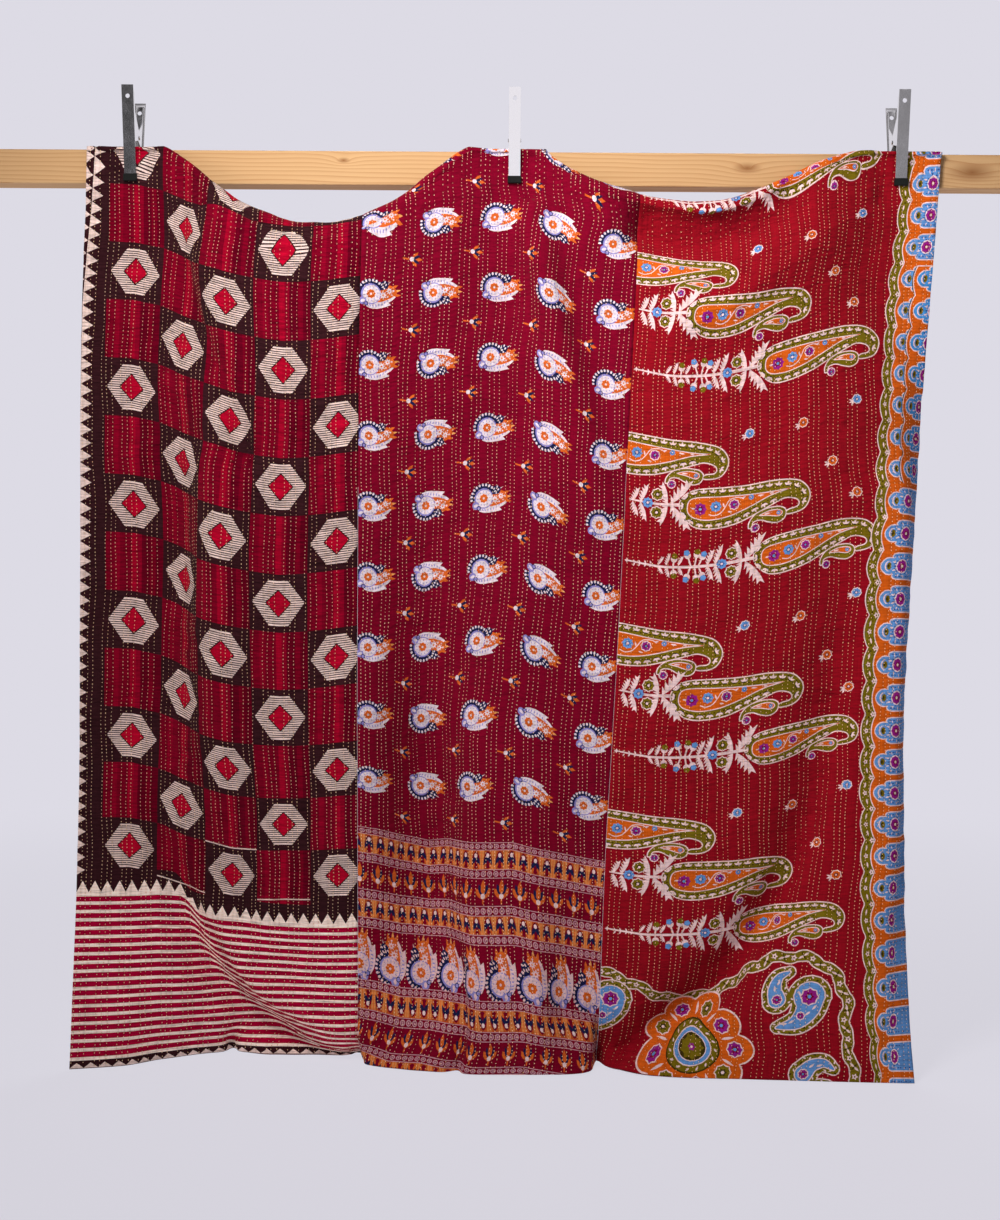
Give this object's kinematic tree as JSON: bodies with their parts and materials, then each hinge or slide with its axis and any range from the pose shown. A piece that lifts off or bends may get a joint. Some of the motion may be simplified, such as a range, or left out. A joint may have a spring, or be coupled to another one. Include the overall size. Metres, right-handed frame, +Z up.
{
  "type": "kantha quilt hung on a wooden rail with spring clamps",
  "caption": "Kantha quilt of joined printed cloth panels, folded over at the top and pinched by metal spring clamps to a pine rail, hanging in soft folds to its hem.",
  "frame": {"origin": "middle of the rail's underside", "axes": "+X along the rail to the right as seen from the front, +Y to the back, +Z up"},
  "size_m": [1.96, 0.3161, 1.7912],
  "materials": {
    "quilt_left": "hand-stitched cotton, brown and crimson blocks",
    "quilt_middle": "hand-stitched cotton, maroon print",
    "quilt_right": "hand-stitched cotton, warm red print",
    "pine": "planed pine, unvarnished",
    "clamp_steel": "bright plated steel",
    "spring_steel": "drawn wire",
    "jaw_rubber": "dipped soft black"
  },
  "bodies": {
    "root": {"quilt_panel_left": "quilt_left", "quilt_panel_middle": "quilt_middle", "quilt_panel_right": "quilt_right", "rail": "pine", "clamp_left_front_arm": "clamp_steel", "clamp_left_back_arm": "clamp_steel", "clamp_left_pin": "clamp_steel", "clamp_left_spring": "spring_steel", "clamp_left_front_boot": "jaw_rubber", "clamp_left_back_boot": "jaw_rubber", "clamp_centre_front_arm": "clamp_steel", "clamp_centre_back_arm": "clamp_steel", "clamp_centre_pin": "clamp_steel", "clamp_centre_spring": "spring_steel", "clamp_centre_front_boot": "jaw_rubber", "clamp_centre_back_boot": "jaw_rubber", "clamp_right_front_arm": "clamp_steel", "clamp_right_back_arm": "clamp_steel", "clamp_right_pin": "clamp_steel", "clamp_right_spring": "spring_steel", "clamp_right_front_boot": "jaw_rubber", "clamp_right_back_boot": "jaw_rubber"}
  },
  "joints": []
}
